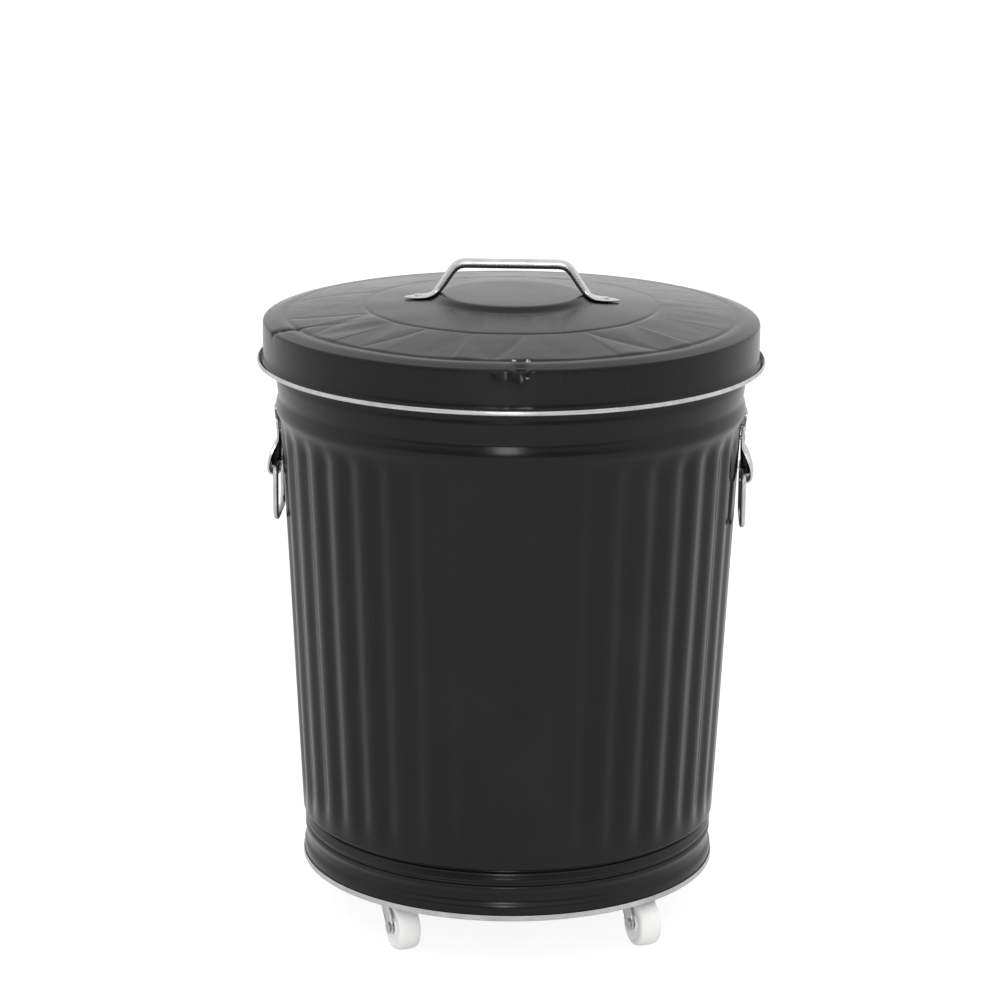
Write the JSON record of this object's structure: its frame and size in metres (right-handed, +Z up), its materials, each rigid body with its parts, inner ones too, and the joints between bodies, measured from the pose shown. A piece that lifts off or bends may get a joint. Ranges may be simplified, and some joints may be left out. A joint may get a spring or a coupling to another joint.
{
  "type": "lidded trash can on casters",
  "caption": "Round fluted steel bin with a lift-off pleated lid, rod handle, drop bails at the sides and swivel casters under a folded base.",
  "frame": {"origin": "on the floor under the middle of the can", "axes": "+Z up along the can; the bail brackets are on +X and -X; -Y is the side seen in the picture"},
  "size_m": [0.4, 0.4, 0.5302],
  "materials": {
    "black_coat": "semi-gloss black coat on fluted and pressed sheet",
    "zinc": "zinc plate, dull bright",
    "bright_plate": "bright plate",
    "nylon": "white nylon"
  },
  "bodies": {
    "can": {"body_shell": "black_coat", "mouth_wire": "zinc", "bottom_pan": "zinc", "bracket_left": "zinc", "bracket_right": "zinc", "bracket_rivet_left_a": "zinc", "bracket_rivet_left_b": "zinc", "bracket_rivet_right_a": "zinc", "bracket_rivet_right_b": "zinc", "caster_plate_1": "bright_plate", "caster_race_1": "bright_plate", "kingpin_1": "bright_plate", "plate_rivet_1_a": "zinc", "plate_rivet_1_b": "zinc", "plate_rivet_1_c": "zinc", "plate_rivet_1_d": "zinc", "caster_plate_2": "bright_plate", "caster_race_2": "bright_plate", "kingpin_2": "bright_plate", "plate_rivet_2_a": "zinc", "plate_rivet_2_b": "zinc", "plate_rivet_2_c": "zinc", "plate_rivet_2_d": "zinc", "caster_plate_3": "bright_plate", "caster_race_3": "bright_plate", "kingpin_3": "bright_plate", "plate_rivet_3_a": "zinc", "plate_rivet_3_b": "zinc", "plate_rivet_3_c": "zinc", "plate_rivet_3_d": "zinc", "caster_plate_4": "bright_plate", "caster_race_4": "bright_plate", "kingpin_4": "bright_plate", "plate_rivet_4_a": "zinc", "plate_rivet_4_b": "zinc", "plate_rivet_4_c": "zinc", "plate_rivet_4_d": "zinc"},
    "lid": {"lid_shell": "black_coat", "lid_rim": "zinc", "lid_handle": "bright_plate", "lid_rivet_left": "bright_plate", "lid_rivet_right": "bright_plate"},
    "left_bail": {"bail_left": "zinc"},
    "right_bail": {"bail_right": "zinc"},
    "caster_1_swivel": {"fork_1": "bright_plate", "axle_1": "zinc"},
    "caster_1_wheel": {"wheel_1": "nylon"},
    "caster_2_swivel": {"fork_2": "bright_plate", "axle_2": "zinc"},
    "caster_2_wheel": {"wheel_2": "nylon"},
    "caster_3_swivel": {"fork_3": "bright_plate", "axle_3": "zinc"},
    "caster_3_wheel": {"wheel_3": "nylon"},
    "caster_4_swivel": {"fork_4": "bright_plate", "axle_4": "zinc"},
    "caster_4_wheel": {"wheel_4": "nylon"}
  },
  "joints": [
    {"name": "lid_lift", "type": "slide", "parent": "can", "child": "lid", "axis": [0, 0, 1], "range_m": [0, 0.1]},
    {"name": "left_bail_swing", "type": "hinge", "parent": "can", "child": "left_bail", "pos_m": [-0.1842, 0, 0.3642], "axis": [0, 1, 0], "range_deg": [-2, 150]},
    {"name": "right_bail_swing", "type": "hinge", "parent": "can", "child": "right_bail", "pos_m": [0.1842, 0, 0.3642], "axis": [0, -1, 0], "range_deg": [-2, 150]},
    {"name": "caster_1_turn", "type": "hinge", "parent": "can", "child": "caster_1_swivel", "pos_m": [0.08433, 0.10414, 0.044], "axis": [0, 0, 1], "continuous": true},
    {"name": "wheel_1_roll", "type": "hinge", "parent": "caster_1_swivel", "child": "caster_1_wheel", "pos_m": [0.09151, 0.08873, 0.01863], "axis": [0.9063, 0.4226, 0], "continuous": true},
    {"name": "caster_2_turn", "type": "hinge", "parent": "can", "child": "caster_2_swivel", "pos_m": [-0.10414, 0.08433, 0.044], "axis": [0, 0, 1], "continuous": true},
    {"name": "wheel_2_roll", "type": "hinge", "parent": "caster_2_swivel", "child": "caster_2_wheel", "pos_m": [-0.09695, 0.06892, 0.01863], "axis": [0.9063, 0.4226, 0], "continuous": true},
    {"name": "caster_3_turn", "type": "hinge", "parent": "can", "child": "caster_3_swivel", "pos_m": [-0.08433, -0.10414, 0.044], "axis": [0, 0, 1], "continuous": true},
    {"name": "wheel_3_roll", "type": "hinge", "parent": "caster_3_swivel", "child": "caster_3_wheel", "pos_m": [-0.07714, -0.11954, 0.01863], "axis": [0.9063, 0.4226, 0], "continuous": true},
    {"name": "caster_4_turn", "type": "hinge", "parent": "can", "child": "caster_4_swivel", "pos_m": [0.10414, -0.08433, 0.044], "axis": [0, 0, 1], "continuous": true},
    {"name": "wheel_4_roll", "type": "hinge", "parent": "caster_4_swivel", "child": "caster_4_wheel", "pos_m": [0.11132, -0.09974, 0.01863], "axis": [0.9063, 0.4226, 0], "continuous": true}
  ]
}
